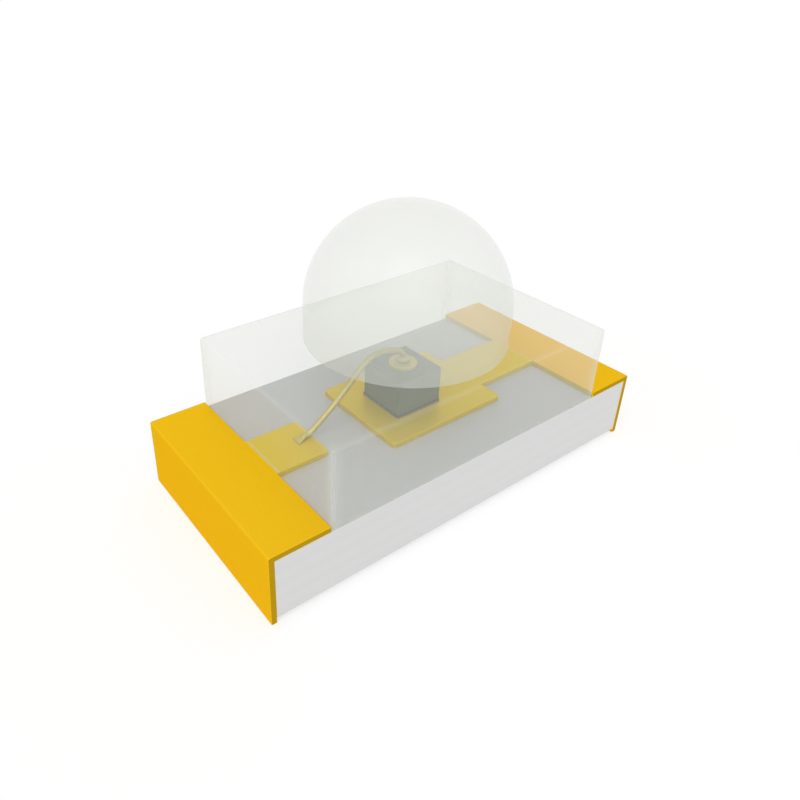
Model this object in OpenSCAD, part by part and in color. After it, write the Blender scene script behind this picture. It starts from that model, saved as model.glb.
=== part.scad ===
// Chip LED for surface mounting, with a clear dome lens.
// A light die sits on a gilt foil pad on a small board. A fine wire joins the top of the die to the other
// foil, clear epoxy is moulded over both, and a dome stands on the epoxy. Sizes are in millimetres.
// The origin is on the surface that the LED is soldered to, under the centre of the die. X runs from the
// wire's terminal to the die's terminal, Y across the board, Z up.

/* [Board] */
// Length over both terminals
length = 3.2; // [2.4:0.05:5]
// Width of the board, the terminals and the clear block
width = 1.55; // [1.2:0.05:3]
// Height of the terminals' top faces over the surface that the LED is soldered to
base_h = 0.52; // [0.3:0.01:1]

/* [Foil] */
// Thickness of the gilt foil that the terminals and pads are made of
foil_t = 0.04; // [0.02:0.005:0.06]
// Length of the bare land on top of each end
land_l = 0.42; // [0.25:0.01:0.55]
// Length of each solder pad under the board
solder_pad_l = 0.5; // [0.3:0.01:0.8]
// Distance that a solder pad stays back from each long side of the board
solder_pad_inset = 0.12; // [0.02:0.01:0.3]
// Radius of the free corners of the wire's pad and the die's pad
pad_corner_r = 0.025; // [0.02:0.005:0.1]
// Width of the wire's pad
wire_pad_w = 0.4; // [0.2:0.01:0.7]
// Length of the die's pad
die_pad_l = 1; // [0.7:0.01:1.1]
// Width of the die's pad
die_pad_w = 0.8; // [0.55:0.01:1.1]
// Distance that the die's pad reaches past the centre of the die, towards the wire's pad
die_pad_reach = 0.4; // [0.3:0.01:0.5]
// Width of the neck that joins the die's pad to its terminal
neck_w = 0.42; // [0.2:0.01:0.5]
// Bare board left between the two pads
pad_gap = 0.38; // [0.1:0.01:0.5]

/* [Die] */
// Side of the square die
die_w = 0.38; // [0.2:0.01:0.5]
// Height of the die
die_h = 0.265; // [0.1:0.005:0.4]
// Thickness of the adhesive under the die
adhesive_t = 0.015; // [0.01:0.005:0.03]
// Adhesive that shows around the foot of the die
adhesive_rim = 0.01; // [0.005:0.005:0.03]
// Diameter of the gilt contact on top of the die
contact_d = 0.2; // [0.14:0.01:0.2]
// Thickness of that contact
contact_t = 0.025; // [0.01:0.005:0.04]

/* [Bond wire] */
// Diameter of the wire
wire_d = 0.04; // [0.02:0.005:0.05]
// Diameter of the ball that bonds the wire to the contact
ball_d = 0.1; // [0.08:0.01:0.12]
// Height of that ball
ball_h = 0.045; // [0.03:0.005:0.06]
// Rise of the wire's centre line from the contact to the top of its loop
loop_rise = 0.14; // [0.1:0.005:0.25]
// Distance from the ball to the top of the loop, along the board
loop_reach = 0.24; // [0.15:0.01:0.3]
// Distance from the end of the wire's pad to the place where the wire lies down on it
stitch_inset = 0.06; // [0.05:0.01:0.15]
// Length of the flattened end of the wire
stitch_l = 0.07; // [0.04:0.01:0.1]
// Width of the flattened end of the wire
stitch_w = 0.08; // [0.06:0.01:0.1]

/* [Clear epoxy] */
// Epoxy left over the top of the wire's loop
loop_cover = 0.065; // [0.02:0.005:0.3]
// Radius of the block's upright and top edges
block_edge_r = 0.025; // [0.02:0.005:0.1]
// Flat ring left on the block's top between its rounded long edges and the dome
dome_seat = 0.05; // [0.01:0.005:0.2]
// Height of the straight wall at the foot of the dome
dome_wall_h = 0.23; // [0.05:0.01:0.5]

/* [Hidden] */
$fn = 64;

// Extra length of a cutting solid past the face that it opens
past = 0.02;
// Sides of the wire, and rings along each stretch of it
wire_sides = 12;
ball_rings = 6;
rise_rings = 12;
fall_rings = 14;
heel_rings = 6;
stitch_rings = 4;
// Steepness of the ball's flanks where it meets the contact and the wire, in degrees from its equator
ball_foot_angle = -50;
ball_neck_angle = 64;
// Slope of the wire where it starts its last bend, down onto its pad, in degrees
heel_slope = 34;
// Length of that last bend along the pad and reach of its handles, in wire diameters
heel_run = 1.5;
heel_bend_handle = 0.7;
// Reach of the handles of the loop's curves: the first as a share of the rise from the ball, the second as a
// share of the loop's reach, and the others as shares of the drop from the top of the loop to the last bend
leave_handle = 0.55;
peak_back_handle = 0.5;
peak_on_handle = 0.2;
heel_handle = 0.6;

land_inner_x = length / 2 - land_l;
board_top = base_h - foil_t;
die_foot = base_h + adhesive_t;
contact_foot = die_foot + die_h;
contact_top = contact_foot + contact_t;
loop_top = contact_top + loop_rise;
block_top = loop_top + wire_d / 2 + loop_cover;
wire_pad_end_x = -(die_pad_reach + pad_gap);
stitch_x = wire_pad_end_x - stitch_inset;
dome_r = width / 2 - block_edge_r - dome_seat;

gilt = [0.92, 0.74, 0.11];
clear = [0.84, 0.87, 0.85, 0.35];

// A rectangle of size [x, y] with its centre at the origin and round corners of radius r
module rounded_rectangle(size, r) {
    square([size.x - 2 * r, size.y], center = true);
    square([size.x, size.y - 2 * r], center = true);
    for (x = [-1, 1], y = [-1, 1])
        translate([x * (size.x / 2 - r), y * (size.y / 2 - r)])
            circle(r);
}

// A pad from x0 to x1, with both corners round at x1 and square at x0
module tongue(x0, x1, w, r) {
    translate([(x0 + x1) / 2, 0])
        rounded_rectangle([abs(x1 - x0), w], r);
    translate([min(x0, (x0 + x1) / 2), -w / 2])
        square([abs(x1 - x0) / 2, w]);
}

// Outline of the foil that the wire is bonded to, on top of the board
module wire_pad_outline() {
    tongue(-land_inner_x, wire_pad_end_x, wire_pad_w, pad_corner_r);
}

// Outline of the foil that the die sits on, with the neck that joins it to its terminal
module die_pad_outline() {
    pad_end_x = die_pad_l - die_pad_reach;
    translate([pad_end_x - die_pad_l / 2, 0])
        rounded_rectangle([die_pad_l, die_pad_w], pad_corner_r);
    translate([0, -neck_w / 2])
        square([land_inner_x, neck_w]);
}

// A terminal without its pad: land on top, wall down the end and solder pad below, at the +X end
module terminal_wrap() {
    wrap_x = length / 2 - foil_t;
    translate([land_inner_x, -width / 2, board_top])
        cube([land_l, width, foil_t]);
    translate([wrap_x, -width / 2, 0])
        cube([foil_t, width, base_h]);
    translate([length / 2 - solder_pad_l, -width / 2 + solder_pad_inset, 0])
        cube([solder_pad_l, width - 2 * solder_pad_inset, foil_t]);
}

// The foil of a pad, whose underside can be lowered to cut past the bottom of the block
module foil_on_board(lower = 0) {
    translate([0, 0, board_top - lower])
        linear_extrude(foil_t + lower)
            children();
}

module board() {
    color([0.84, 0.84, 0.83])
        translate([-length / 2 + foil_t, -width / 2, foil_t])
            cube([length - 2 * foil_t, width, base_h - 2 * foil_t]);
}

module wire_terminal() {
    color(gilt) {
        mirror([1, 0, 0])
            terminal_wrap();
        foil_on_board()
            wire_pad_outline();
    }
}

module die_terminal() {
    color(gilt) {
        terminal_wrap();
        foil_on_board()
            die_pad_outline();
    }
}

module die_adhesive() {
    rim_w = die_w + 2 * adhesive_rim;
    color([0.7, 0.7, 0.68])
        translate([0, 0, base_h])
            linear_extrude(adhesive_t)
                rounded_rectangle([rim_w, rim_w], adhesive_rim * 2);
}

module die() {
    color([0.36, 0.41, 0.38])
        translate([-die_w / 2, -die_w / 2, die_foot])
            cube([die_w, die_w, die_h]);
}

module die_contact() {
    color([0.86, 0.72, 0.25])
        translate([0, 0, contact_foot])
            cylinder(h = contact_t, d = contact_d);
}

// Points of a cubic curve from a to d, with b and c as its handles
function curve(a, b, c, d, n) =
    [for (i = [1 : n]) let (t = i / n, s = 1 - t) s * s * s * a + 3 * s * s * t * b + 3 * s * t * t * c + t * t * t * d];

// Direction of the wire at point i of its route
function heading(route, i) =
    let (v = route[min(i + 1, len(route) - 1)] - route[max(i - 1, 0)]) v / norm(v);

// One ring of the wire in the plane across its heading, kept above its pad
// Each station is [x, z, heading x, heading z, half width, half height]
function ring(station) = [
    for (k = [0 : wire_sides - 1])
        let (a = 360 * k / wire_sides, up = station[5] * sin(a))
            [station[0] - station[3] * up, station[4] * cos(a), max(station[1] + station[2] * up, base_h)]
];

// Ball, wire and flattened end in one sweep, in the plane y = 0
module wire_solid() {
    wire_r = wire_d / 2;
    leave = [0, contact_top + ball_h];
    peak = [-loop_reach, loop_top];
    down = [-cos(heel_slope), -sin(heel_slope)];
    lie = [stitch_x, base_h + wire_r];
    heel = lie + heel_run * wire_d * [1, tan(heel_slope / 2)];
    bend = heel_bend_handle * wire_d;
    drop = norm(peak - heel);
    route = concat(
        [leave],
        curve(
            leave,
            leave + [0, (peak.y - leave.y) * leave_handle],
            peak + [loop_reach * peak_back_handle, 0],
            peak,
            rise_rings
        ),
        curve(peak, peak - [drop * peak_on_handle, 0], heel - down * drop * heel_handle, heel, fall_rings),
        curve(heel, heel + down * bend, lie + [bend, 0], lie, heel_rings)
    );
    ball_scale = ball_h / (sin(ball_neck_angle) - sin(ball_foot_angle));
    ball = [
        for (i = [0 : ball_rings - 1])
            let (
                a = ball_foot_angle + (ball_neck_angle - ball_foot_angle) * i / ball_rings,
                z = contact_top + ball_scale * (sin(a) - sin(ball_foot_angle)),
                r = max(ball_d / 2 * cos(a), wire_r)
            )
                [0, z, 0, 1, r, r]
    ];
    wire = [
        for (i = [0 : len(route) - 1])
            let (v = i == 0 ? [0, 1] : i == len(route) - 1 ? [-1, 0] : heading(route, i))
                [route[i].x, route[i].y, v.x, v.y, wire_r, wire_r]
    ];
    stitch = [
        for (i = [1 : stitch_rings])
            let (t = i / stitch_rings, half_h = wire_r * (1 - 0.7 * t))
                [stitch_x - stitch_l * t, base_h + half_h * (1 - 0.5 * t), -1, 0, wire_r + (stitch_w / 2 - wire_r) * t, half_h]
    ];
    stations = concat(ball, wire, stitch);
    last = len(stations) - 1;
    points = [for (s = stations) each ring(s)];
    sides = [
        for (i = [0 : last - 1], k = [0 : wire_sides - 1])
            let (
                next = (k + 1) % wire_sides,
                a = i * wire_sides + k,
                b = i * wire_sides + next,
                c = a + wire_sides,
                d = b + wire_sides
            )
                each [[a, c, b], [b, c, d]]
    ];
    foot = [for (k = [0 : wire_sides - 1]) k];
    tip = [for (k = [wire_sides - 1 : -1 : 0]) last * wire_sides + k];
    polyhedron(points = points, faces = concat([foot, tip], sides));
}

module bond_wire() {
    color(gilt)
        wire_solid();
}

// Side view of the block: a rectangle from the board up, with both top corners round
module block_profile(w) {
    h = block_top - board_top;
    translate([-w / 2, board_top])
        square([w, h - block_edge_r]);
    translate([-w / 2 + block_edge_r, board_top])
        square([w - 2 * block_edge_r, h]);
    for (x = [-1, 1])
        translate([x * (w / 2 - block_edge_r), block_top - block_edge_r])
            circle(block_edge_r);
}

// The block's outer form: its plan, its long side view and its end view cut from one another
module block_form() {
    l = 2 * land_inner_x;
    intersection() {
        translate([0, 0, board_top])
            linear_extrude(block_top - board_top)
                rounded_rectangle([l, width], block_edge_r);
        rotate([90, 0, 0])
            linear_extrude(width, center = true)
                block_profile(l);
        rotate([90, 0, 90])
            linear_extrude(l, center = true)
                block_profile(width);
    }
}

module clear_block() {
    color(clear)
        difference() {
            block_form();
            foil_on_board(past)
                wire_pad_outline();
            foil_on_board(past)
                die_pad_outline();
            die_adhesive();
            die();
            die_contact();
            wire_solid();
        }
}

module dome_lens() {
    color(clear)
        translate([0, 0, block_top])
            rotate_extrude()
                union() {
                    square([dome_r, dome_wall_h]);
                    translate([0, dome_wall_h])
                        intersection() {
                            circle(dome_r);
                            square(dome_r);
                        }
                }
}

board();
wire_terminal();
die_terminal();
die_adhesive();
die();
die_contact();
bond_wire();
clear_block();
dome_lens();
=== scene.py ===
"""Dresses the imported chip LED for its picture.

A small laminate board with a gilt terminal round each end carries a light die and its bond wire. Clear epoxy is
moulded over them as a block, and a dome stands on the block. Pieces are modelled in millimetres, in the frame of
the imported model, and brought to metres when they are finished.
"""

import logging  # noqa: E402
import math  # noqa: E402
from contextlib import contextmanager  # noqa: E402
from dataclasses import dataclass, field  # noqa: E402
from enum import Enum  # noqa: E402
from typing import Callable, Iterator, Optional, Sequence, Union  # noqa: E402

import bmesh  # noqa: E402
import bpy  # noqa: E402
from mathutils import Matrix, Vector  # noqa: E402

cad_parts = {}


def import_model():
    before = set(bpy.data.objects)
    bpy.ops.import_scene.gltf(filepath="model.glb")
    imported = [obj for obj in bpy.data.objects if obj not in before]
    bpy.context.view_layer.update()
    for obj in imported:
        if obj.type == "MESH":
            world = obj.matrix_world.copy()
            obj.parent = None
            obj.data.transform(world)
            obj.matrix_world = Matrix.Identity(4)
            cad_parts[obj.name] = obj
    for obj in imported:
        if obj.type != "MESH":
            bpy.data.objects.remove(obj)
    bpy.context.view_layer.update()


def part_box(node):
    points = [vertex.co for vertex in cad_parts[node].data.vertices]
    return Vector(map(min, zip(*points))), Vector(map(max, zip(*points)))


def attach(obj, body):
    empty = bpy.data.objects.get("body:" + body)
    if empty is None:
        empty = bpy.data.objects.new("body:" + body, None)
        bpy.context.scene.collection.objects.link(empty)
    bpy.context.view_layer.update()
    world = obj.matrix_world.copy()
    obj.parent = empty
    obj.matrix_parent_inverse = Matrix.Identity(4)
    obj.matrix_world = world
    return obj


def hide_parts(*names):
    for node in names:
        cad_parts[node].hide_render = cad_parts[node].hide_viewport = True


LOG = logging.getLogger("chip_led")
METRES_PER_MM = 0.001
BODY = "root"

Piece = bpy.types.Object
Colour = tuple[float, float, float]
Test = Callable[[Vector, Vector], bool]


class End(Enum):
    """One end of the board, with the side of the origin that it lies on."""

    WIRE = -1
    DIE = 1


class Corner(Enum):
    """How the edges of a piece are broken."""

    SAWN = 0.004
    MOULDED = 0.003


# ---- Modelling ----


class Bench:
    """Modelling steps that every piece shares. Sizes are in millimetres."""

    @staticmethod
    def clear_choice() -> None:
        """Leaves nothing selected."""
        bpy.ops.object.select_all(action="DESELECT")

    @staticmethod
    def settle(name: str) -> Piece:
        """Names the newest object and puts its place and size into its mesh.

        Args:
            name: Name of the piece.

        Returns:
            The piece, at the origin.
        """
        piece = bpy.context.active_object
        piece.name = name
        piece.data.name = name
        bpy.ops.object.transform_apply(location=True, rotation=True, scale=True)
        return piece

    @classmethod
    def block(cls, name: str, low: Sequence[float], high: Sequence[float]) -> Piece:
        """Adds a box between two corners.

        Args:
            name: Name of the piece.
            low: Lowest corner.
            high: Highest corner.

        Returns:
            The box.
        """
        cls.clear_choice()
        middle = [(a + b) / 2 for a, b in zip(low, high)]
        size = [b - a for a, b in zip(low, high)]
        bpy.ops.mesh.primitive_cube_add(size=1, location=middle, scale=size)
        return cls.settle(name)

    @staticmethod
    @contextmanager
    def shaping(piece: Piece) -> Iterator[None]:
        """Puts a piece in edit mode, with nothing in it selected.

        Args:
            piece: The piece to shape.

        Yields:
            Nothing. The piece is back in object mode afterwards.
        """
        Bench.clear_choice()
        piece.select_set(True)
        bpy.context.view_layer.objects.active = piece
        bpy.ops.object.mode_set(mode="EDIT")
        bpy.ops.mesh.select_all(action="DESELECT")
        try:
            yield
        finally:
            bpy.ops.object.mode_set(mode="OBJECT")

    @staticmethod
    def pick_faces(piece: Piece, test: Test) -> None:
        """Selects the faces whose centre and normal pass a test.

        Args:
            piece: A piece in edit mode.
            test: Function of a face's centre and normal.
        """
        bpy.ops.mesh.select_mode(type="FACE")
        mesh = bmesh.from_edit_mesh(piece.data)
        for face in mesh.faces:
            face.select_set(test(face.calc_center_median(), face.normal))
        bmesh.update_edit_mesh(piece.data)

    @staticmethod
    def pick_edges(piece: Piece, test: Test) -> None:
        """Selects the edges whose two ends pass a test.

        Args:
            piece: A piece in edit mode.
            test: Function of an edge's two ends.
        """
        bpy.ops.mesh.select_mode(type="EDGE")
        mesh = bmesh.from_edit_mesh(piece.data)
        for edge in mesh.edges:
            edge.select_set(test(edge.verts[0].co, edge.verts[1].co))
        bmesh.update_edit_mesh(piece.data)

    @staticmethod
    def pick_points(piece: Piece, test: Callable[[Vector], bool]) -> None:
        """Selects the points that pass a test.

        Args:
            piece: A piece in edit mode.
            test: Function of a point's place.
        """
        bpy.ops.mesh.select_mode(type="VERT")
        mesh = bmesh.from_edit_mesh(piece.data)
        for point in mesh.verts:
            point.select_set(test(point.co))
        bmesh.update_edit_mesh(piece.data)

    @staticmethod
    def split(place: Sequence[float], normal: Sequence[float]) -> None:
        """Cuts all faces of the piece in edit mode along a plane.

        Args:
            place: A point on the plane.
            normal: The plane's normal.
        """
        bpy.ops.mesh.select_all(action="SELECT")
        bpy.ops.mesh.bisect(plane_co=place, plane_no=normal, threshold=1e-6)
        bpy.ops.mesh.select_all(action="DESELECT")

    @staticmethod
    def pull(x: float = 0, y: float = 0, z: float = 0) -> None:
        """Extrudes what is selected along a vector."""
        bpy.ops.mesh.extrude_region_move(TRANSFORM_OT_translate={"value": (x, y, z)})

    @staticmethod
    def round_off(radius: float, segments: int) -> None:
        """Rounds the selected edges.

        Args:
            radius: Radius of the rounding.
            segments: Faces across it.
        """
        bpy.ops.mesh.bevel(offset=radius, segments=segments, profile=0.5, clamp_overlap=False)

    @classmethod
    def apply(cls, piece: Piece, kind: str, **settings: object) -> None:
        """Adds a modifier to a piece and applies it.

        Args:
            piece: The piece.
            kind: The modifier's type.
            settings: Values of its properties.
        """
        cls.clear_choice()
        piece.select_set(True)
        bpy.context.view_layer.objects.active = piece
        modifier = piece.modifiers.new(kind.title(), kind)
        for key, value in settings.items():
            setattr(modifier, key, value)
        bpy.ops.object.modifier_apply(modifier=modifier.name)

    @classmethod
    def break_edges(cls, piece: Piece, width: float, segments: int = 2) -> None:
        """Breaks every sharp edge of a piece.

        Args:
            piece: The piece.
            width: Width of the broken edge.
            segments: Faces across it.
        """
        cls.apply(
            piece, "BEVEL", width=width, segments=segments, limit_method="ANGLE",
            angle_limit=math.radians(40), use_clamp_overlap=True, harden_normals=False,
        )

    @classmethod
    def smooth(cls, piece: Piece, angle: float = 50) -> None:
        """Shades a piece smooth, with flat faces kept flat.

        Args:
            piece: The piece.
            angle: Largest angle between two faces that still blend, in degrees.
        """
        cls.clear_choice()
        piece.select_set(True)
        bpy.context.view_layer.objects.active = piece
        bpy.ops.object.shade_smooth_by_angle(angle=math.radians(angle))
        cls.apply(piece, "WEIGHTED_NORMAL", keep_sharp=True, weight=100)

    @classmethod
    def grown_copy(cls, piece: Piece, growth: float) -> Piece:
        """Copies a piece and moves all its faces outwards.

        Args:
            piece: The piece.
            growth: Distance that each face moves.

        Returns:
            The copy.
        """
        copy = piece.copy()
        copy.data = piece.data.copy()
        bpy.context.scene.collection.objects.link(copy)
        with cls.shaping(copy):
            bpy.ops.mesh.select_all(action="SELECT")
            bpy.ops.transform.shrink_fatten(value=growth, use_even_offset=True)
        return copy

    @classmethod
    def hollow(cls, piece: Piece, cores: Sequence[Piece], growth: float) -> None:
        """Takes the room that other pieces fill out of a piece.

        Args:
            piece: The piece that is moulded round the others.
            cores: The pieces inside it.
            growth: Gap that is left round each of them.
        """
        for core in cores:
            cutter = cls.grown_copy(core, growth)
            cls.apply(piece, "BOOLEAN", operation="DIFFERENCE", solver="EXACT", object=cutter)
            bpy.data.objects.remove(cutter)

    @classmethod
    def finish(cls, piece: Piece, node: str, slot: str, material: bpy.types.Material) -> None:
        """Brings a piece to metres, dresses it and puts it in the place of its node.

        Args:
            piece: The finished piece.
            node: Name of the node that it stands for.
            slot: Material slot of the record. Not used.
            material: Its material.
        """
        cls.clear_choice()
        piece.select_set(True)
        bpy.context.view_layer.objects.active = piece
        piece.scale = (METRES_PER_MM,) * 3
        bpy.ops.object.transform_apply(location=True, rotation=True, scale=True)
        piece.data.materials.clear()
        piece.data.materials.append(material)
        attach(piece, BODY)
        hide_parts(node)
        low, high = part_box(node)
        own = [Vector(corner) for corner in piece.bound_box]
        stray = max(
            abs(pick(corner[i] for corner in own) - side[i])
            for pick, side in ((min, low), (max, high))
            for i in range(3)
        )
        LOG.info(
            "%s: %d faces, within %.4f mm of node %s", piece.name, len(piece.data.polygons), stray / METRES_PER_MM, node
        )


# ---- Shader maths ----


class Signal:
    """One output of a shader node, with arithmetic that adds Math nodes."""

    def __init__(self, graph: "Graph", socket: bpy.types.NodeSocket) -> None:
        """Keeps the socket and the graph that it belongs to."""
        self.graph = graph
        self.socket = socket

    def math(self, operation: str, *values: "Number") -> "Signal":
        """Adds one Math node.

        Args:
            operation: The node's operation.
            values: Its inputs.

        Returns:
            The node's result.
        """
        return self.graph.node("ShaderNodeMath", {"operation": operation}, dict(enumerate(values)))

    def __add__(self, other: "Number") -> "Signal":
        """Sum."""
        return self.math("ADD", self, other)

    def __sub__(self, other: "Number") -> "Signal":
        """Difference."""
        return self.math("SUBTRACT", self, other)

    def __rsub__(self, other: "Number") -> "Signal":
        """Difference, from a number."""
        return self.math("SUBTRACT", other, self)

    def __mul__(self, other: "Number") -> "Signal":
        """Product."""
        return self.math("MULTIPLY", self, other)

    __radd__ = __add__
    __rmul__ = __mul__

    def __abs__(self) -> "Signal":
        """Absolute value."""
        return self.math("ABSOLUTE", self)

    def above(self, edge: float, blur: float) -> "Signal":
        """Mask that rises from 0 to 1 round a value.

        Args:
            edge: The value where the mask is one half.
            blur: Width of the rise.

        Returns:
            The mask.
        """
        settings = {"interpolation_type": "SMOOTHSTEP", "clamp": True}
        return self.graph.node(
            "ShaderNodeMapRange", settings, {"Value": self, "From Min": edge - blur / 2, "From Max": edge + blur / 2}
        )


Number = Union[Signal, float]


class Graph:
    """The node tree of one material, of the world or of the floor."""

    def __init__(self, tree: bpy.types.NodeTree) -> None:
        """Starts from an empty tree."""
        self.tree = tree
        tree.nodes.clear()

    def node(self, kind: str, settings: dict, inputs: dict, output: Union[int, str] = 0) -> Signal:
        """Adds a node.

        Args:
            kind: The node's type.
            settings: Its properties, and a ramp's stops as "stops".
            inputs: Values or signals by socket name or number.
            output: Name or number of the output to hand back.

        Returns:
            That output.
        """
        made = self.tree.nodes.new(kind)
        for key, value in settings.items():
            if key == "stops":
                self._set_stops(made.color_ramp, value)
            else:
                setattr(made, key, value)
        for key, value in inputs.items():
            socket = made.inputs[key]
            if isinstance(value, Signal):
                self.tree.links.new(value.socket, socket)
            elif isinstance(value, tuple) and socket.type == "RGBA":
                socket.default_value = (*value, 1.0)
            else:
                socket.default_value = value
        return Signal(self, made.outputs[output]) if made.outputs else Signal(self, None)

    @staticmethod
    def _set_stops(ramp: bpy.types.ColorRamp, stops: Sequence[tuple[float, Colour]]) -> None:
        """Gives a colour ramp its stops."""
        while len(ramp.elements) > len(stops):
            ramp.elements.remove(ramp.elements[-1])
        while len(ramp.elements) < len(stops):
            ramp.elements.new(1.0)
        for element, (place, colour) in zip(ramp.elements, stops):
            element.position = place
            element.color = (*colour, 1.0)

    def place(self) -> Signal:
        """Place on the piece in millimetres."""
        spot = self.node("ShaderNodeTexCoord", {}, {}, "Object")
        return self.node("ShaderNodeVectorMath", {"operation": "SCALE"}, {0: spot, "Scale": 1 / METRES_PER_MM})

    def stretched(self, spot: Signal, factors: Colour) -> Signal:
        """Place with each axis multiplied by its own factor."""
        return self.node("ShaderNodeVectorMath", {"operation": "MULTIPLY"}, {0: spot, 1: factors})

    def axis(self, vector: Signal, name: str) -> Signal:
        """One axis of a vector."""
        return self.node("ShaderNodeSeparateXYZ", {}, {0: vector}, name)

    def facing(self) -> Signal:
        """Direction of the surface, before any bump."""
        return self.node("ShaderNodeTexCoord", {}, {}, "Normal")

    def noise(self, spot: Signal, size: float, detail: float = 2.0, roughness: float = 0.5) -> Signal:
        """Cloudy noise from 0 to 1.

        Args:
            spot: Place in millimetres.
            size: Size of its blotches in millimetres.
            detail: Finer layers added.
            roughness: Strength of those layers.

        Returns:
            The noise.
        """
        inputs = {"Vector": spot, "Scale": 1 / size, "Detail": detail, "Roughness": roughness}
        return self.node("ShaderNodeTexNoise", {}, inputs, 0)

    def blend(self, share: Number, first: Union[Signal, Colour], second: Union[Signal, Colour]) -> Signal:
        """Colour between two colours.

        Args:
            share: 0 for the first, 1 for the second.
            first: First colour.
            second: Second colour.

        Returns:
            The mixed colour.
        """
        return self.node("ShaderNodeMix", {"data_type": "RGBA"}, {0: share, 6: first, 7: second}, 2)

    def bump(self, height: Signal, depth: float, strength: float = 1.0) -> Signal:
        """Normal of a surface with a relief.

        Args:
            height: The relief, from 0 to 1.
            depth: Its depth in millimetres.
            strength: Share of it that shows.

        Returns:
            The normal.
        """
        return self.node(
            "ShaderNodeBump", {}, {"Height": height, "Distance": depth * METRES_PER_MM, "Strength": strength}
        )

    def surface(self, **inputs: Union[Signal, float, Colour]) -> None:
        """Ends a material in one principled surface.

        Args:
            inputs: Values or signals by socket name, with _ for a space.
        """
        named = {key.replace("_", " "): value for key, value in inputs.items()}
        shader = self.node("ShaderNodeBsdfPrincipled", {}, named)
        self.node("ShaderNodeOutputMaterial", {}, {"Surface": shader})


def new_graph(name: str) -> tuple[bpy.types.Material, Graph]:
    """Makes an empty node material.

    Args:
        name: Name of the material.

    Returns:
        The material and its graph.
    """
    material = bpy.data.materials.new(name)
    material.use_nodes = True
    return material, Graph(material.node_tree)


# ---- Finishes ----


@dataclass(frozen=True)
class Gilt:
    """Satin gold plating. On a foil, the sawn long edges bare its darker core, and the epoxy seals the inner pad."""

    name: str
    plating: Colour = (0.875, 0.53, 0.0135)
    worn: Colour = (0.83, 0.495, 0.0135)
    core: Colour = (0.45, 0.285, 0.011)
    sealed: Colour = (0.775, 0.60, 0.006)
    grain: float = 0.012
    roughness: float = 0.42
    metallic: float = 0.4
    tint: Colour = (0.85, 0.5, 0.05)
    sawn_at: Optional[float] = None
    sealed_within: Optional[float] = None

    def material(self) -> bpy.types.Material:
        """Builds the material."""
        material, graph = new_graph(self.name)
        spot = graph.place()
        cloud = graph.noise(spot, 0.35, 3.0)
        grain = graph.noise(spot, self.grain, 3.0, 0.6)
        colour = graph.blend(cloud * 0.5 + grain * 0.3, self.plating, self.worn)
        roughness = self.roughness + (grain - 0.5) * 0.12
        if self.sealed_within is not None:
            outside = abs(graph.axis(spot, "X")).above(self.sealed_within, 0.004)
            colour = graph.blend(outside, graph.blend(grain * 0.3, self.sealed, self.plating), colour)
        if self.sawn_at is not None:
            edge = abs(graph.axis(spot, "Y")).above(self.sawn_at, 0.0004)
            marks = graph.noise(graph.stretched(spot, (6.0, 1.0, 70.0)), 1.0, 2.0)
            colour = graph.blend(edge, colour, graph.blend(marks, self.core, tuple(c * 1.15 for c in self.core)))
            roughness = roughness + edge * 0.15
        graph.surface(
            Base_Color=colour,
            Metallic=self.metallic,
            Roughness=roughness,
            Specular_Tint=self.tint,
            Specular_IOR_Level=0.0,
            Normal=graph.bump(grain, 0.0012),
        )
        return material


@dataclass(frozen=True)
class Laminate:
    """Pale glass-filled board, with its cloth just visible on top and its plies on the sawn sides, and its top darker
    than its sides, partly where the epoxy wets it and partly as painted shade.
    """

    name: str
    resin: Colour = (0.645, 0.645, 0.645)
    glass: Colour = (0.675, 0.675, 0.67)
    pitch: float = 0.09
    plies: float = 0.11
    roughness: float = 0.55
    # Darkening of the top face: partly the epoxy wetting it, partly painted shade of dimmer light on the top.
    wetted_and_shaded: float = 0.84
    wet_shade_above: float = 0.4796

    def material(self) -> bpy.types.Material:
        """Builds the material."""
        material, graph = new_graph(self.name)
        spot = graph.place()
        cloud = graph.noise(spot, 0.3, 3.0)
        speck = graph.noise(spot, 0.014, 3.0, 0.6)
        turns = 2 * math.pi / self.pitch
        cloth_x = graph.axis(spot, "X").math("SINE", graph.axis(spot, "X") * turns)
        cloth_y = graph.axis(spot, "Y").math("SINE", graph.axis(spot, "Y") * turns)
        ply = graph.axis(spot, "Z").math("SINE", graph.axis(spot, "Z") * (2 * math.pi / self.plies) + cloud * 1.5)
        upright = abs(graph.axis(graph.facing(), "Z")).above(0.5, 0.2)
        cloth = cloth_x * cloth_y * 0.5 + 0.5
        layers = ply * 0.5 + 0.5
        weave = upright * cloth + (1 - upright) * layers
        share = weave * 0.35 + cloud * 0.3 + speck * 0.35
        dry = graph.blend(share, self.resin, self.glass)
        # Painted shade, partly real wetting: the top face under the epoxy is darker than the sawn sides.
        wet_and_shaded = graph.blend(share, *(tuple(c * self.wetted_and_shaded for c in tone) for tone in (self.resin, self.glass)))
        colour = graph.blend(graph.axis(spot, "Z").above(self.wet_shade_above, 0.0004), dry, wet_and_shaded)
        relief = weave * 0.4 + speck * 0.6
        graph.surface(
            Base_Color=colour, Roughness=self.roughness + (speck - 0.5) * 0.2, Normal=graph.bump(relief, 0.001)
        )
        return material


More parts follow.
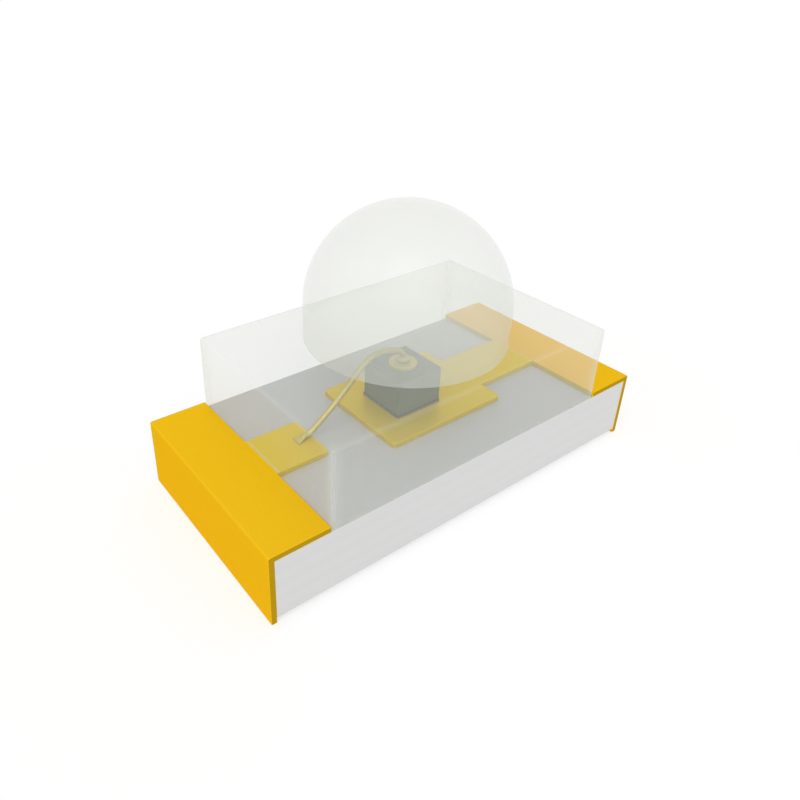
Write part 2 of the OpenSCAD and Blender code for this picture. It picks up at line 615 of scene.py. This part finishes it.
@dataclass(frozen=True)
class Crystal:
    """Dark sawn crystal of the die, with level saw marks on its sides and a top painted darker, as painted shade that
    keeps it as dim as the sides under the light from above.
    """

    name: str
    body: Colour = (0.16, 0.19, 0.172)
    sheen: Colour = (0.205, 0.24, 0.215)
    # Painted shade: darker colour of the top, against the brighter light that falls on it from above.
    top: Colour = (0.105, 0.122, 0.108)
    saw_pitch: float = 0.012
    roughness: float = 0.35
    gloss: float = 0.2

    def material(self) -> bpy.types.Material:
        """Builds the material."""
        material, graph = new_graph(self.name)
        spot = graph.place()
        side = 1 - abs(graph.axis(graph.facing(), "Z")).above(0.5, 0.2)
        marks = graph.noise(graph.stretched(spot, (1.5, 1.5, 1 / self.saw_pitch)), 1.0, 3.0)
        grain = graph.noise(spot, 0.02, 2.0)
        streaks = marks * side + grain * (1 - side)
        sawn = graph.blend(streaks, self.body, self.sheen)
        # Painted shade: the top takes a darker colour than the sawn sides.
        finished = graph.blend(grain, self.top, tuple(c * 1.15 for c in self.top))
        graph.surface(
            Base_Color=graph.blend(side, finished, sawn),
            Roughness=self.roughness + (streaks - 0.5) * 0.2,
            Specular_IOR_Level=self.gloss,
            Normal=graph.bump(streaks, 0.0008),
        )
        return material


@dataclass(frozen=True)
class SilverPaste:
    """Cured silver-filled adhesive, dull with bright flakes."""

    name: str
    paste: Colour = (0.14, 0.135, 0.11)
    flake: Colour = (0.36, 0.35, 0.31)

    def material(self) -> bpy.types.Material:
        """Builds the material."""
        material, graph = new_graph(self.name)
        spot = graph.place()
        cells = graph.node("ShaderNodeTexVoronoi", {}, {"Vector": spot, "Scale": 1 / 0.006}, "Distance")
        flakes = (1 - cells).above(0.65, 0.3)
        graph.surface(
            Base_Color=graph.blend(flakes, self.paste, self.flake),
            Metallic=flakes * 0.5,
            Roughness=0.6 - flakes * 0.2,
            Normal=graph.bump(flakes, 0.001),
        )
        return material


@dataclass(frozen=True)
class ClearEpoxy:
    """Clear moulded epoxy with a slight milky haze, thinner where it is bonded to the pieces inside it. On the block, a
    painted highlight of paler, thicker haze runs along the upright edges and the top rim.
    """

    name: str
    haze: Colour = (0.50, 0.56, 0.50)
    veil: float = 0.20
    roughness: float = 0.22
    inner_veil: float = 0.06
    inner_haze: Colour = (0.30, 0.33, 0.30)
    # Painted highlight: extra alpha, and the widths of the bands along the upright edges and the top rim that carry it.
    highlight_veil: float = 0.12
    upright_highlight_band: float = 0.11
    rim_highlight_band: float = 0.05
    block: Optional[Colour] = None

    def material(self) -> bpy.types.Material:
        """Builds the material."""
        material, graph = new_graph(self.name)
        material.surface_render_method = "BLENDED"
        spot = graph.place()
        flow = graph.noise(spot, 0.5, 2.0)
        grain = graph.noise(spot, 0.02, 2.0)
        colour = graph.blend(flow, self.haze, tuple(c * 1.03 for c in self.haze))
        roughness = self.roughness + (grain - 0.5) * 0.08
        relief = grain * 0.5
        veil = self.veil + (flow - 0.5) * 0.015
        if self.block is not None:
            colour, veil, relief, roughness = self._block(graph, spot, colour, veil, relief, roughness)
        graph.surface(
            Base_Color=colour,
            Roughness=roughness,
            Alpha=veil,
            Normal=graph.bump(relief, 0.0004),
        )
        return material

    def _block(
        self, graph: Graph, spot: Signal, colour: Signal, veil: Signal, relief: Signal, roughness: Signal
    ) -> tuple[Signal, Signal, Signal, Signal]:
        """Tells the block's outside, its sawn long sides and a painted highlight band along its edges from the faces
        bonded to the pieces inside.

        Args:
            graph: The material's graph.
            spot: Place in millimetres.
            colour: Colour of the outside.
            veil: Alpha of the outside.
            relief: Relief of the moulded faces.
            roughness: Roughness of the moulded faces.

        Returns:
            Colour, alpha, relief and roughness all over the block.
        """
        depths = [self.block[i] - abs(graph.axis(spot, name)) for i, name in enumerate("XYZ")]
        near = [1 - depth.above(0.026, 0.0004) for depth in depths]
        outer = near[0].math("MAXIMUM", near[0], near[1])
        outer = outer.math("MAXIMUM", outer, near[2])
        # Painted highlight: masks of bands along the upright edges and the top rim.
        highlight_sides = [1 - depth.above(self.upright_highlight_band / 2, self.upright_highlight_band) for depth in depths[:2]]
        close = [1 - depth.above(self.rim_highlight_band / 2, self.rim_highlight_band) for depth in depths]
        rim = close[2] * close[0].math("MAXIMUM", close[0], close[1])
        edge = (highlight_sides[0] * highlight_sides[1]).math("MAXIMUM", highlight_sides[0] * highlight_sides[1], rim * 0.4)
        # The painted highlight adds alpha and a paler haze on those bands.
        veil = self.inner_veil + outer * (veil + edge * self.highlight_veil - self.inner_veil)
        colour = graph.blend(outer, self.inner_haze, graph.blend(edge, colour, tuple(c * 1.1 for c in self.haze)))
        sawn = 1 - depths[1].above(0.0004, 0.0004)
        marks = graph.noise(graph.stretched(spot, (2.0, 1.0, 45.0)), 1.0, 2.0)
        return colour, veil, relief + sawn * marks * 0.5, roughness + sawn * 0.08


# ---- The LED's sub-assemblies ----


@dataclass
class Carrier:
    """The board and the two gilt terminals that wrap its ends. Sizes are in millimetres."""

    length: float = 3.2
    width: float = 1.55
    base_h: float = 0.52
    foil_t: float = 0.04
    land_l: float = 0.42
    solder_pad_l: float = 0.5
    solder_pad_inset: float = 0.12
    pad_corner_r: float = 0.025
    wire_pad_l: float = 0.4
    wire_pad_w: float = 0.4
    neck_l: float = 0.58
    neck_w: float = 0.42
    die_pad_l: float = 1.0
    die_pad_w: float = 0.8
    bend_r: float = 0.014
    bend_segments: int = 4
    corner_segments: int = 6
    pieces: dict[str, Piece] = field(default_factory=dict)

    @property
    def board_top(self) -> float:
        """Height of the bare board."""
        return self.base_h - self.foil_t

    @property
    def land_inner_x(self) -> float:
        """Distance from the origin to the bare land's inner edge."""
        return self.length / 2 - self.land_l

    def board(self) -> Piece:
        """Models the board between the two terminals."""
        half_l = self.length / 2 - self.foil_t
        board = Bench.block(
            "laminate_board", (-half_l, -self.width / 2, self.foil_t), (half_l, self.width / 2, self.board_top)
        )
        Bench.break_edges(board, Corner.SAWN.value)
        Bench.smooth(board)
        return board

    def wrap(self, name: str, end: End) -> Piece:
        """Models a terminal without its inner pad: a wall with the land on top and the solder pad below.

        Args:
            name: Name of the piece.
            end: The end of the board that it wraps.

        Returns:
            The terminal, with the face that its inner pad grows from split off.
        """
        side = end.value
        outer, inner = side * self.length / 2, side * (self.length / 2 - self.foil_t)
        half_w = self.width / 2
        wall = Bench.block(name, (min(outer, inner), -half_w, 0), (max(outer, inner), half_w, self.base_h))
        inner_pad_w = self.wire_pad_w if end is End.WIRE else self.neck_w
        pad_half_w = half_w - self.solder_pad_inset
        with Bench.shaping(wall):
            for height in (self.foil_t, self.board_top):
                Bench.split((0, 0, height), (0, 0, 1))
            for reach in (pad_half_w, -pad_half_w, inner_pad_w / 2, -inner_pad_w / 2):
                Bench.split((0, reach, 0), (0, 1, 0))
            Bench.pick_faces(wall, lambda c, n: n.x * side < -0.5 and c.z > self.board_top)
            Bench.pull(x=-side * (self.land_l - self.foil_t))
            Bench.pick_faces(wall, lambda c, n: n.x * side < -0.5 and c.z < self.foil_t and abs(c.y) < pad_half_w)
            Bench.pull(x=-side * (self.solder_pad_l - self.foil_t))
        return wall

    def grow_pad(self, terminal: Piece, end: End, from_x: float, width: float, length: float) -> None:
        """Extrudes the middle of a terminal's inner edge over the board.

        Args:
            terminal: The terminal, in edit mode.
            end: The end of the board that it wraps.
            from_x: Where the edge is.
            width: Width of the part that grows.
            length: How far it grows.
        """
        side = end.value
        Bench.pick_faces(
            terminal,
            lambda c, n: n.x * side < -0.5 and c.z > self.board_top and abs(c.x - from_x) < 1e-4 and abs(c.y) < width / 2,
        )
        Bench.pull(x=-side * length)

    def close_edges(self, terminal: Piece, end: End) -> None:
        """Rounds a terminal's outer bends and breaks its other edges.

        Args:
            terminal: The terminal.
            end: The end of the board that it wraps.
        """
        outer = end.value * self.length / 2
        with Bench.shaping(terminal):
            Bench.pick_edges(
                terminal,
                lambda a, b: all(abs(p.x - outer) < 1e-4 for p in (a, b))
                and abs(a.z - b.z) < 1e-4
                and min(abs(a.z), abs(a.z - self.base_h)) < 1e-4,
            )
            Bench.round_off(self.bend_r, self.bend_segments)
        Bench.break_edges(terminal, Corner.SAWN.value)
        Bench.smooth(terminal)

    def round_pad_corners(self, terminal: Piece, places: Sequence[tuple[float, float]]) -> None:
        """Rounds upright corners of a pad.

        Args:
            terminal: The terminal, in edit mode.
            places: X and Y of each corner.
        """
        Bench.pick_edges(
            terminal,
            lambda a, b: abs(a.z - b.z) > 1e-4
            and any(all(abs(p.x - x) < 1e-4 and abs(abs(p.y) - y) < 1e-4 for p in (a, b)) for x, y in places),
        )
        Bench.round_off(self.pad_corner_r, self.corner_segments)

    def wire_terminal(self) -> Piece:
        """Models the terminal whose pad the bond wire comes down on."""
        terminal = self.wrap("wire_side_terminal", End.WIRE)
        start = -self.land_inner_x
        with Bench.shaping(terminal):
            self.grow_pad(terminal, End.WIRE, start, self.wire_pad_w, self.wire_pad_l)
            self.round_pad_corners(terminal, [(start + self.wire_pad_l, self.wire_pad_w / 2)])
        self.close_edges(terminal, End.WIRE)
        return terminal

    def die_terminal(self) -> Piece:
        """Models the terminal whose pad the die sits on."""
        terminal = self.wrap("die_side_terminal", End.DIE)
        pad_end = self.land_inner_x - self.neck_l
        pad_start = pad_end - self.die_pad_l
        with Bench.shaping(terminal):
            self.grow_pad(terminal, End.DIE, self.land_inner_x, self.neck_w, self.neck_l)
            self.grow_pad(terminal, End.DIE, pad_end, self.neck_w, self.die_pad_l)
            for side in (-1, 1):
                Bench.pick_faces(terminal, lambda c, n: n.y * side > 0.5 and c.z > self.board_top and pad_start < c.x < pad_end)
                Bench.pull(y=side * (self.die_pad_w - self.neck_w) / 2)
            self.round_pad_corners(terminal, [(pad_start, self.die_pad_w / 2), (pad_end, self.die_pad_w / 2)])
        self.close_edges(terminal, End.DIE)
        return terminal

    def build(self) -> None:
        """Models the board and both terminals."""
        self.pieces = {"board": self.board(), "wire": self.wire_terminal(), "die": self.die_terminal()}

    def dress(self) -> None:
        """Gives the three pieces their finishes and their places in the frame."""
        laminate = Laminate("pale_laminate").material()
        gilt = Gilt(
            "gilt_foil", sawn_at=self.width / 2 - 0.0004, sealed_within=self.land_inner_x + 0.002
        ).material()
        Bench.finish(self.pieces["board"], "board", "board_laminate", laminate)
        Bench.finish(self.pieces["wire"], "wire_terminal", "gilt_foil", gilt)
        Bench.finish(self.pieces["die"], "die_terminal", "gilt_foil", gilt)


@dataclass(frozen=True)
class Station:
    """One ring of the bond wire, in the plane y = 0."""

    x: float
    z: float
    slope: float
    half_w: float
    half_h: float


@dataclass
class LightSource:
    """The die with its adhesive, its contact and the bond wire. Sizes are in millimetres."""

    base_h: float = 0.52
    die_w: float = 0.38
    die_h: float = 0.265
    adhesive_t: float = 0.015
    adhesive_rim: float = 0.01
    contact_d: float = 0.2
    contact_t: float = 0.025
    wire_d: float = 0.04
    ball_d: float = 0.1
    ball_h: float = 0.045
    loop_rise: float = 0.14
    loop_reach: float = 0.24
    leave_handle: float = 0.55
    peak_back_handle: float = 0.5
    peak_on_handle: float = 0.2
    heel_handle: float = 0.6
    heel_slope: float = 34.0
    heel_run: float = 0.06
    heel_bend: float = 0.028
    stitch_x: float = -0.84
    stitch_l: float = 0.07
    stitch_w: float = 0.08
    wire_sides: int = 24
    pieces: dict[str, Piece] = field(default_factory=dict)

    @property
    def contact_foot(self) -> float:
        """Height of the die's top."""
        return self.base_h + self.adhesive_t + self.die_h

    @property
    def contact_top(self) -> float:
        """Height of the contact's top."""
        return self.contact_foot + self.contact_t

    def adhesive(self) -> Piece:
        """Models the thin layer under the die, with a sloping rim."""
        half = self.die_w / 2 + self.adhesive_rim
        layer = Bench.block(
            "die_adhesive_layer", (-half, -half, self.base_h), (half, half, self.base_h + self.adhesive_t)
        )
        with Bench.shaping(layer):
            Bench.pick_edges(layer, lambda a, b: abs(a.z - b.z) > 1e-4)
            Bench.round_off(2 * self.adhesive_rim, 5)
        Bench.break_edges(layer, 0.003, 2)
        Bench.smooth(layer)
        return layer

    def die(self) -> Piece:
        """Models the sawn die."""
        half = self.die_w / 2
        foot = self.base_h + self.adhesive_t
        die = Bench.block("light_die", (-half, -half, foot), (half, half, foot + self.die_h))
        Bench.break_edges(die, Corner.SAWN.value)
        Bench.smooth(die)
        return die

    def contact(self) -> Piece:
        """Models the gilt disc on top of the die."""
        Bench.clear_choice()
        bpy.ops.mesh.primitive_cylinder_add(
            vertices=64,
            radius=self.contact_d / 2,
            depth=self.contact_t,
            location=(0, 0, self.contact_foot + self.contact_t / 2),
        )
        disc = Bench.settle("die_top_contact")
        with Bench.shaping(disc):
            Bench.pick_edges(disc, lambda a, b: min(a.z, b.z) > self.contact_top - 1e-4)
            Bench.round_off(0.006, 3)
        Bench.smooth(disc)
        return disc

    @staticmethod
    def curve(points: Sequence[Vector], count: int) -> list[Vector]:
        """Points of a cubic curve after its start.

        Args:
            points: Start, two handles and end.
            count: Number of points.

        Returns:
            The points, the end included.
        """
        a, b, c, d = points
        made = []
        for i in range(1, count + 1):
            t = i / count
            s = 1 - t
            made.append(a * s**3 + b * (3 * s * s * t) + c * (3 * s * t * t) + d * t**3)
        return made

    def route(self) -> list[Vector]:
        """Centre line of the wire from the ball to the stitch, as X and Z."""
        radius = self.wire_d / 2
        leave = Vector((0, self.contact_top + self.ball_h))
        peak = Vector((-self.loop_reach, self.contact_top + self.loop_rise))
        fall = math.radians(self.heel_slope)
        down = Vector((-math.cos(fall), -math.sin(fall)))
        lie = Vector((self.stitch_x, self.base_h + radius))
        heel = lie + Vector((1, math.tan(fall / 2))) * self.heel_run
        drop = (peak - heel).length
        risen = leave + Vector((0, (peak.y - leave.y) * self.leave_handle))
        arriving = peak + Vector((self.loop_reach * self.peak_back_handle, 0))
        leaving = peak - Vector((drop * self.peak_on_handle, 0))
        falling = heel - down * drop * self.heel_handle
        bent, settling = heel + down * self.heel_bend, lie + Vector((self.heel_bend, 0))
        return [
            leave,
            *self.curve((leave, risen, arriving, peak), 16),
            *self.curve((peak, leaving, falling, heel), 18),
            *self.curve((heel, bent, settling, lie), 8),
        ]

    def stations(self) -> list[Station]:
        """Rings of the ball, the wire and its flattened end."""
        radius = self.wire_d / 2
        foot, neck = math.radians(-50), math.radians(64)
        scale = self.ball_h / (math.sin(neck) - math.sin(foot))
        upright = math.pi / 2
        made = []
        for i in range(10):
            angle = foot + (neck - foot) * i / 10
            height = self.contact_top + scale * (math.sin(angle) - math.sin(foot))
            half = max(self.ball_d / 2 * math.cos(angle), radius)
            made.append(Station(0, height, upright, half, half))
        route = self.route()
        for i, spot in enumerate(route):
            if i == 0:
                slope = upright
            elif i == len(route) - 1:
                slope = math.pi
            else:
                step = route[i + 1] - route[i - 1]
                slope = math.atan2(step.y, step.x) % (2 * math.pi)
            made.append(Station(spot.x, spot.y, slope, radius, radius))
        for i in range(1, 7):
            share = i / 6
            half_h = radius * (1 - 0.7 * share)
            half_w = radius + (self.stitch_w / 2 - radius) * share
            made.append(
                Station(
                    self.stitch_x - self.stitch_l * share, self.base_h + half_h * (1 - 0.5 * share), math.pi, half_w, half_h
                )
            )
        return made

    def wire(self) -> Piece:
        """Models the bond wire by extruding one ring from station to station."""
        stations = self.stations()
        first = stations[0]
        Bench.clear_choice()
        bpy.ops.mesh.primitive_circle_add(
            vertices=self.wire_sides, radius=first.half_w, fill_type="NGON", location=(first.x, 0, first.z)
        )
        wire = Bench.settle("gold_bond_wire")
        with Bench.shaping(wire):
            bpy.ops.mesh.select_all(action="SELECT")
            for last, new in zip(stations, stations[1:]):
                Bench.pull(x=new.x - last.x, z=new.z - last.z)
                centre = (new.x, 0, new.z)
                turn = new.slope - last.slope
                if abs(turn) > 1e-6:
                    bpy.ops.transform.rotate(
                        value=turn, orient_axis="Y", orient_type="GLOBAL", center_override=centre
                    )
                wider, taller = new.half_w / last.half_w, new.half_h / last.half_h
                if abs(wider - 1) > 1e-6 or abs(taller - 1) > 1e-6:
                    flat = abs(new.slope - math.pi / 2) < 1e-6
                    sizes = (taller, wider, 1) if flat else (1, wider, taller)
                    bpy.ops.transform.resize(value=sizes, orient_type="GLOBAL", center_override=centre)
            Bench.pick_points(wire, lambda p: p.z < self.base_h)
            bpy.ops.transform.resize(value=(1, 1, 0), orient_type="GLOBAL", center_override=(0, 0, self.base_h))
            bpy.ops.mesh.select_all(action="SELECT")
            bpy.ops.mesh.normals_make_consistent(inside=False)
        Bench.smooth(wire, 60)
        return wire

    def build(self) -> None:
        """Models the four pieces."""
        self.pieces = {
            "adhesive": self.adhesive(),
            "die": self.die(),
            "contact": self.contact(),
            "wire": self.wire(),
        }

    def dress(self) -> None:
        """Gives the four pieces their finishes and their places in the frame."""
        Bench.finish(self.pieces["adhesive"], "die_adhesive", "silver_adhesive", SilverPaste("silver_paste").material())
        Bench.finish(self.pieces["die"], "die", "semiconductor", Crystal("sawn_crystal").material())
        contact = Gilt("gilt_contact", plating=(0.76, 0.62, 0.10), worn=(0.70, 0.56, 0.09), grain=0.006)
        Bench.finish(self.pieces["contact"], "die_contact", "gilt_contact", contact.material())
        gold = Gilt("gold_wire", plating=(0.60, 0.51, 0.16), worn=(0.55, 0.46, 0.14), grain=0.006, roughness=0.35)
        Bench.finish(self.pieces["wire"], "bond_wire", "gold_wire", gold.material())


@dataclass
class Encapsulation:
    """The clear block over the board and the dome on top of it. Sizes are in millimetres."""

    land_inner_x: float = 1.18
    width: float = 1.55
    board_top: float = 0.48
    block_top: float = 1.05
    edge_r: float = 0.025
    edge_segments: int = 6
    dome_r: float = 0.7
    dome_wall_h: float = 0.23
    dome_segments: int = 128
    gap: float = 0.001
    pieces: dict[str, Piece] = field(default_factory=dict)

    def block(self, cores: Sequence[Piece]) -> Piece:
        """Models the block, moulded round everything on the board.

        Args:
            cores: The pieces that it encloses or lies against.

        Returns:
            The block.
        """
        half_l, half_w = self.land_inner_x, self.width / 2
        block = Bench.block(
            "clear_epoxy_block", (-half_l, -half_w, self.board_top + self.gap), (half_l, half_w, self.block_top)
        )
        with Bench.shaping(block):
            Bench.pick_edges(block, lambda a, b: max(a.z, b.z) > self.block_top - 1e-4)
            Bench.round_off(self.edge_r, self.edge_segments)
        Bench.hollow(block, cores, self.gap)
        Bench.smooth(block, 40)
        return block

    def dome(self) -> Piece:
        """Models the dome from the upper half of a sphere and the straight wall below it."""
        equator = self.block_top + self.dome_wall_h
        Bench.clear_choice()
        bpy.ops.mesh.primitive_uv_sphere_add(
            segments=self.dome_segments, ring_count=self.dome_segments // 2, radius=self.dome_r, location=(0, 0, equator)
        )
        dome = Bench.settle("clear_dome_lens")
        with Bench.shaping(dome):
            Bench.pick_points(dome, lambda p: p.z < equator - 1e-4)
            bpy.ops.mesh.delete(type="VERT")
            Bench.pick_edges(dome, lambda a, b: max(a.z, b.z) < equator + 1e-4)
            Bench.pull(z=self.gap - self.dome_wall_h)
            bpy.ops.mesh.edge_face_add()
            bpy.ops.mesh.select_all(action="SELECT")
            bpy.ops.mesh.normals_make_consistent(inside=False)
        Bench.smooth(dome, 40)
        return dome

    def build(self, cores: Sequence[Piece]) -> None:
        """Models both pieces round what they enclose."""
        self.pieces = {"block": self.block(cores), "dome": self.dome()}

    def dress(self) -> None:
        """Gives both pieces their finishes and their places in the frame."""
        block = ClearEpoxy(
            "clear_epoxy",
            haze=(0.72, 0.755, 0.69),
            veil=0.195,
            block=(self.land_inner_x, self.width / 2, self.block_top),
        )
        dome = ClearEpoxy("clear_lens", haze=(0.74, 0.77, 0.705), veil=0.25)
        Bench.finish(self.pieces["block"], "clear_block", "clear_epoxy", block.material())
        Bench.finish(self.pieces["dome"], "dome_lens", "clear_lens", dome.material())


# ---- The studio ----


@dataclass
class Studio:
    """Camera, floor, lamps and background."""

    camera_at: Colour = (-2.9732, -3.2471, 3.4320)
    azimuth: float = -35.6762
    elevation: float = 29.0611
    focal_px: float = 723.663
    centre_px: tuple[float, float] = (328.891, 338.956)
    picture_px: float = 800.0
    sensor_mm: float = 36.0
    floor_size: float = 2.0
    sky: float = 0.65
    key: float = 0.45
    key_azimuth: float = -42.0
    key_elevation: float = 52.0
    key_spread: float = 50.0
    white: Colour = (1.0, 1.0, 1.0)
    floor_colour: Colour = (0.96, 0.96, 0.96)
    floor_veil: Colour = (0.4, 0.4, 0.4)
    floor_lift: Colour = (0.6, 0.6, 0.6)

    def add_camera(self) -> None:
        """Sets the camera at the photograph's place, with the photograph's framing."""
        data = bpy.data.cameras.new("picture_camera")
        data.sensor_width = self.sensor_mm
        data.lens = self.focal_px / self.picture_px * self.sensor_mm
        half = self.picture_px / 2
        data.shift_x = (half - self.centre_px[0]) / self.picture_px
        data.shift_y = (self.centre_px[1] - half) / self.picture_px
        data.clip_start, data.clip_end = 0.0002, 10.0
        camera = bpy.data.objects.new("picture_camera", data)
        camera.location = [c * METRES_PER_MM for c in self.camera_at]
        camera.rotation_euler = (math.radians(90 - self.elevation), 0, math.radians(self.azimuth))
        bpy.context.scene.collection.objects.link(camera)
        bpy.context.scene.camera = camera

    def add_lamps(self) -> None:
        """Adds the soft key light from the front left and above."""
        data = bpy.data.lights.new("key_light", "SUN")
        data.energy = self.key * math.pi
        data.angle = math.radians(self.key_spread)
        lamp = bpy.data.objects.new("key_light", data)
        lamp.rotation_euler = (math.radians(90 - self.key_elevation), 0, math.radians(self.key_azimuth))
        bpy.context.scene.collection.objects.link(lamp)

    @staticmethod
    def seen(graph: Graph) -> Signal:
        """Mask of the rays that look at the background, directly or through a reflection."""
        rays = [
            graph.node("ShaderNodeLightPath", {}, {}, name)
            for name in ("Is Camera Ray", "Is Glossy Ray", "Is Transmission Ray")
        ]
        most = rays[0].math("MAXIMUM", rays[0], rays[1])
        return most.math("MAXIMUM", most, rays[2])

    def add_world(self) -> None:
        """Lights the scene with an even sky that looks white."""
        world = bpy.data.worlds.new("even_sky")
        world.use_nodes = True
        graph = Graph(world.node_tree)
        strength = self.sky + self.seen(graph) * (1 - self.sky)
        sky = graph.node("ShaderNodeBackground", {}, {"Color": self.white, "Strength": strength})
        graph.node("ShaderNodeOutputWorld", {}, {"Surface": sky})
        bpy.context.scene.world = world

    def add_floor(self) -> None:
        """Lays the pale floor that the LED stands on."""
        Bench.clear_choice()
        bpy.ops.mesh.primitive_plane_add(size=self.floor_size, location=(0, 0, -1e-6))
        floor = bpy.context.active_object
        floor.name = "studio_floor"
        material, graph = new_graph("pale_floor")
        seen = self.seen(graph)
        colour = graph.blend(seen, self.floor_colour, self.floor_veil)
        lift = graph.blend(seen, (0.0, 0.0, 0.0), self.floor_lift)
        graph.surface(
            Base_Color=colour, Roughness=1.0, Specular_IOR_Level=0.0, Emission_Color=lift, Emission_Strength=1.0
        )
        floor.data.materials.append(material)

    def build(self) -> None:
        """Sets up the whole studio."""
        scene = bpy.context.scene
        scene.view_settings.view_transform = "Standard"
        self.add_camera()
        self.add_lamps()
        self.add_world()
        self.add_floor()
        LOG.info("studio: camera, key light, sky and floor")


def main() -> None:
    """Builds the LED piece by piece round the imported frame."""
    logging.basicConfig(level=logging.INFO, format="%(message)s")
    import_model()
    Studio().build()
    carrier, source, clear = Carrier(), LightSource(), Encapsulation()
    carrier.build()
    source.build()
    clear.build(
        [
            carrier.pieces["wire"],
            carrier.pieces["die"],
            source.pieces["adhesive"],
            source.pieces["die"],
            source.pieces["contact"],
            source.pieces["wire"],
        ]
    )
    for group in (carrier, source, clear):
        group.dress()


if __name__ == "__main__":
    main()
